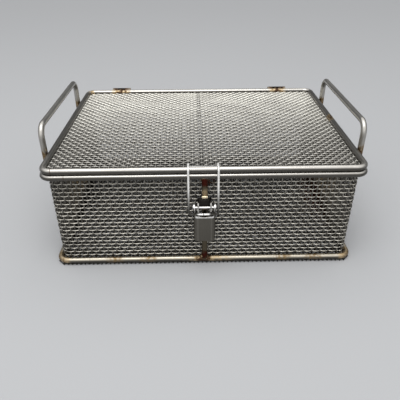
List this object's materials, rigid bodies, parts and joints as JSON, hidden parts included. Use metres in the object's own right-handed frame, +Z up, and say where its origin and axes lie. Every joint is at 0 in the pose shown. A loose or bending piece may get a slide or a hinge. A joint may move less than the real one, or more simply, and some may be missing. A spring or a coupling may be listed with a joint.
{
  "type": "wire locker basket",
  "caption": "Shallow woven-wire basket on a bent rod frame with a hinged woven lid, a carrying handle at each end and a draw latch in front.",
  "frame": {"origin": "on the floor under the middle of the basket's frame", "axes": "+X to the right along the long side, +Y to the back, +Z up; the latch is in front at -Y"},
  "size_m": [0.3446, 0.2749, 0.1494],
  "materials": {
    "rod": "satin stainless rod, dull with use, brown heat tint at the welds",
    "lid_rod": "satin stainless rod, a little brighter on top, heat tint at the hinges",
    "mesh": "plain stainless wire, dull, woven over and under",
    "lid_mesh_wire": "plain stainless wire with a warm grey haze, woven over and under",
    "handle_rod": "polished stainless rod with light wear",
    "latch_post_rod": "dark heat-tinted stainless rod with rust at its ends",
    "latch": "pressed stainless sheet, satin",
    "latch_pin": "bright steel pin",
    "latch_plate": "pressed stainless sheet, brushed dull",
    "bail_wire": "bright drawn stainless wire",
    "hinge": "rolled stainless hinge sheet with brown heat tint",
    "hinge_pin": "steel pin",
    "weld": "rough weld metal with brown and straw heat tint"
  },
  "bodies": {
    "basket": {"bottom_frame": "rod", "rim_frame": "rod", "bottom_mesh": "mesh", "front_wall_mesh": "mesh", "back_wall_mesh": "mesh", "left_wall_mesh": "mesh", "right_wall_mesh": "mesh", "front_left_corner_mesh": "mesh", "front_right_corner_mesh": "mesh", "back_left_corner_mesh": "mesh", "back_right_corner_mesh": "mesh", "left_handle": "handle_rod", "right_handle": "handle_rod", "latch_post": "latch_post_rod", "latch_base": "latch", "latch_pivot_pin": "latch_pin", "left_hinge_basket_leaf": "hinge", "right_hinge_basket_leaf": "hinge", "left_hinge_pin": "hinge_pin", "right_hinge_pin": "hinge_pin", "left_handle_weld_beads": "weld", "right_handle_weld_beads": "weld", "latch_post_weld_beads": "weld", "latch_base_weld_beads": "weld", "basket_hinge_weld_beads": "weld"},
    "lid": {"lid_frame": "lid_rod", "lid_mesh": "lid_mesh_wire", "left_hinge_lid_leaf": "hinge", "right_hinge_lid_leaf": "hinge", "lid_hinge_weld_beads": "weld"},
    "latch_lever": {"latch_lever": "latch_plate"},
    "latch_bail": {"latch_bail": "bail_wire"}
  },
  "joints": [
    {"name": "lid_hinge", "type": "hinge", "parent": "basket", "child": "lid", "pos_m": [0, 0.13095, 0.11778], "axis": [-1, 0, 0], "range_deg": [0, 200]},
    {"name": "latch_lever_pivot", "type": "hinge", "parent": "basket", "child": "latch_lever", "pos_m": [-0.0005, -0.1345, 0.0796], "axis": [-1, 0, 0], "range_deg": [0, 95]},
    {"name": "latch_bail_pivot", "type": "hinge", "parent": "latch_lever", "child": "latch_bail", "pos_m": [-0.0015, -0.137, 0.0728], "axis": [-1, 0, 0], "range_deg": [-84, 0]}
  ],
  "couplings": [
    {"joint": "latch_bail_pivot", "follows": "latch_lever_pivot", "ratio": -0.874}
  ]
}
